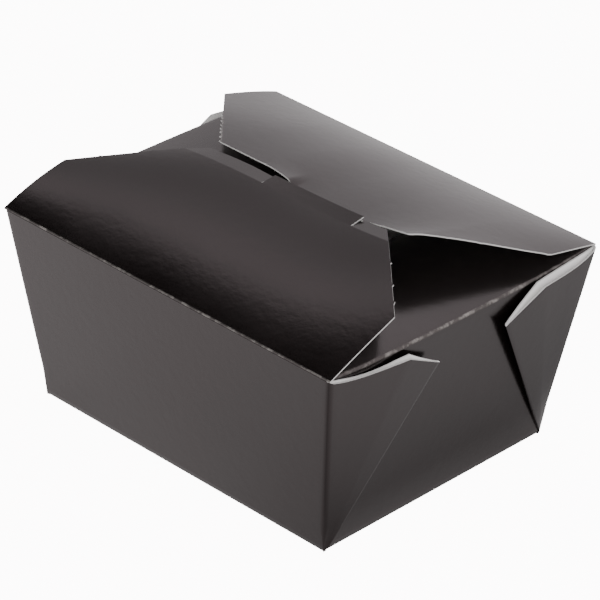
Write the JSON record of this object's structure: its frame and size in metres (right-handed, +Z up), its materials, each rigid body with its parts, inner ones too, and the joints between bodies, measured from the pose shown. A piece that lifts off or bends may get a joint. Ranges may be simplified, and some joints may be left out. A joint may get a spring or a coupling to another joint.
{
  "type": "takeaway box",
  "caption": "Black coated board food box with flared walls, folded web corners and two interlocking top flaps that open together.",
  "frame": {"origin": "middle of the base's underside, on the table", "axes": "+X along the long side, +Y from the front flap's wall to the back flap's wall, +Z up"},
  "size_m": [0.132, 0.109, 0.0756],
  "materials": {
    "carton_board": "black coated board, satin",
    "front_flap_board": "black coated board, satin",
    "back_flap_board": "black coated board, satin"
  },
  "bodies": {
    "box": {"carton": "carton_board"},
    "front_lid": {"front_flap": "front_flap_board"},
    "back_lid": {"back_flap": "back_flap_board"}
  },
  "joints": [
    {"name": "front_fold", "type": "hinge", "parent": "box", "child": "front_lid", "pos_m": [0, -0.05425, 0.06175], "axis": [1, 0, 0], "range_deg": [0, 115]},
    {"name": "back_fold", "type": "hinge", "parent": "box", "child": "back_lid", "pos_m": [0, 0.05425, 0.06175], "axis": [-1, 0, 0], "range_deg": [0, 115]}
  ],
  "couplings": [
    {"joint": "back_fold", "follows": "front_fold", "ratio": 1}
  ]
}
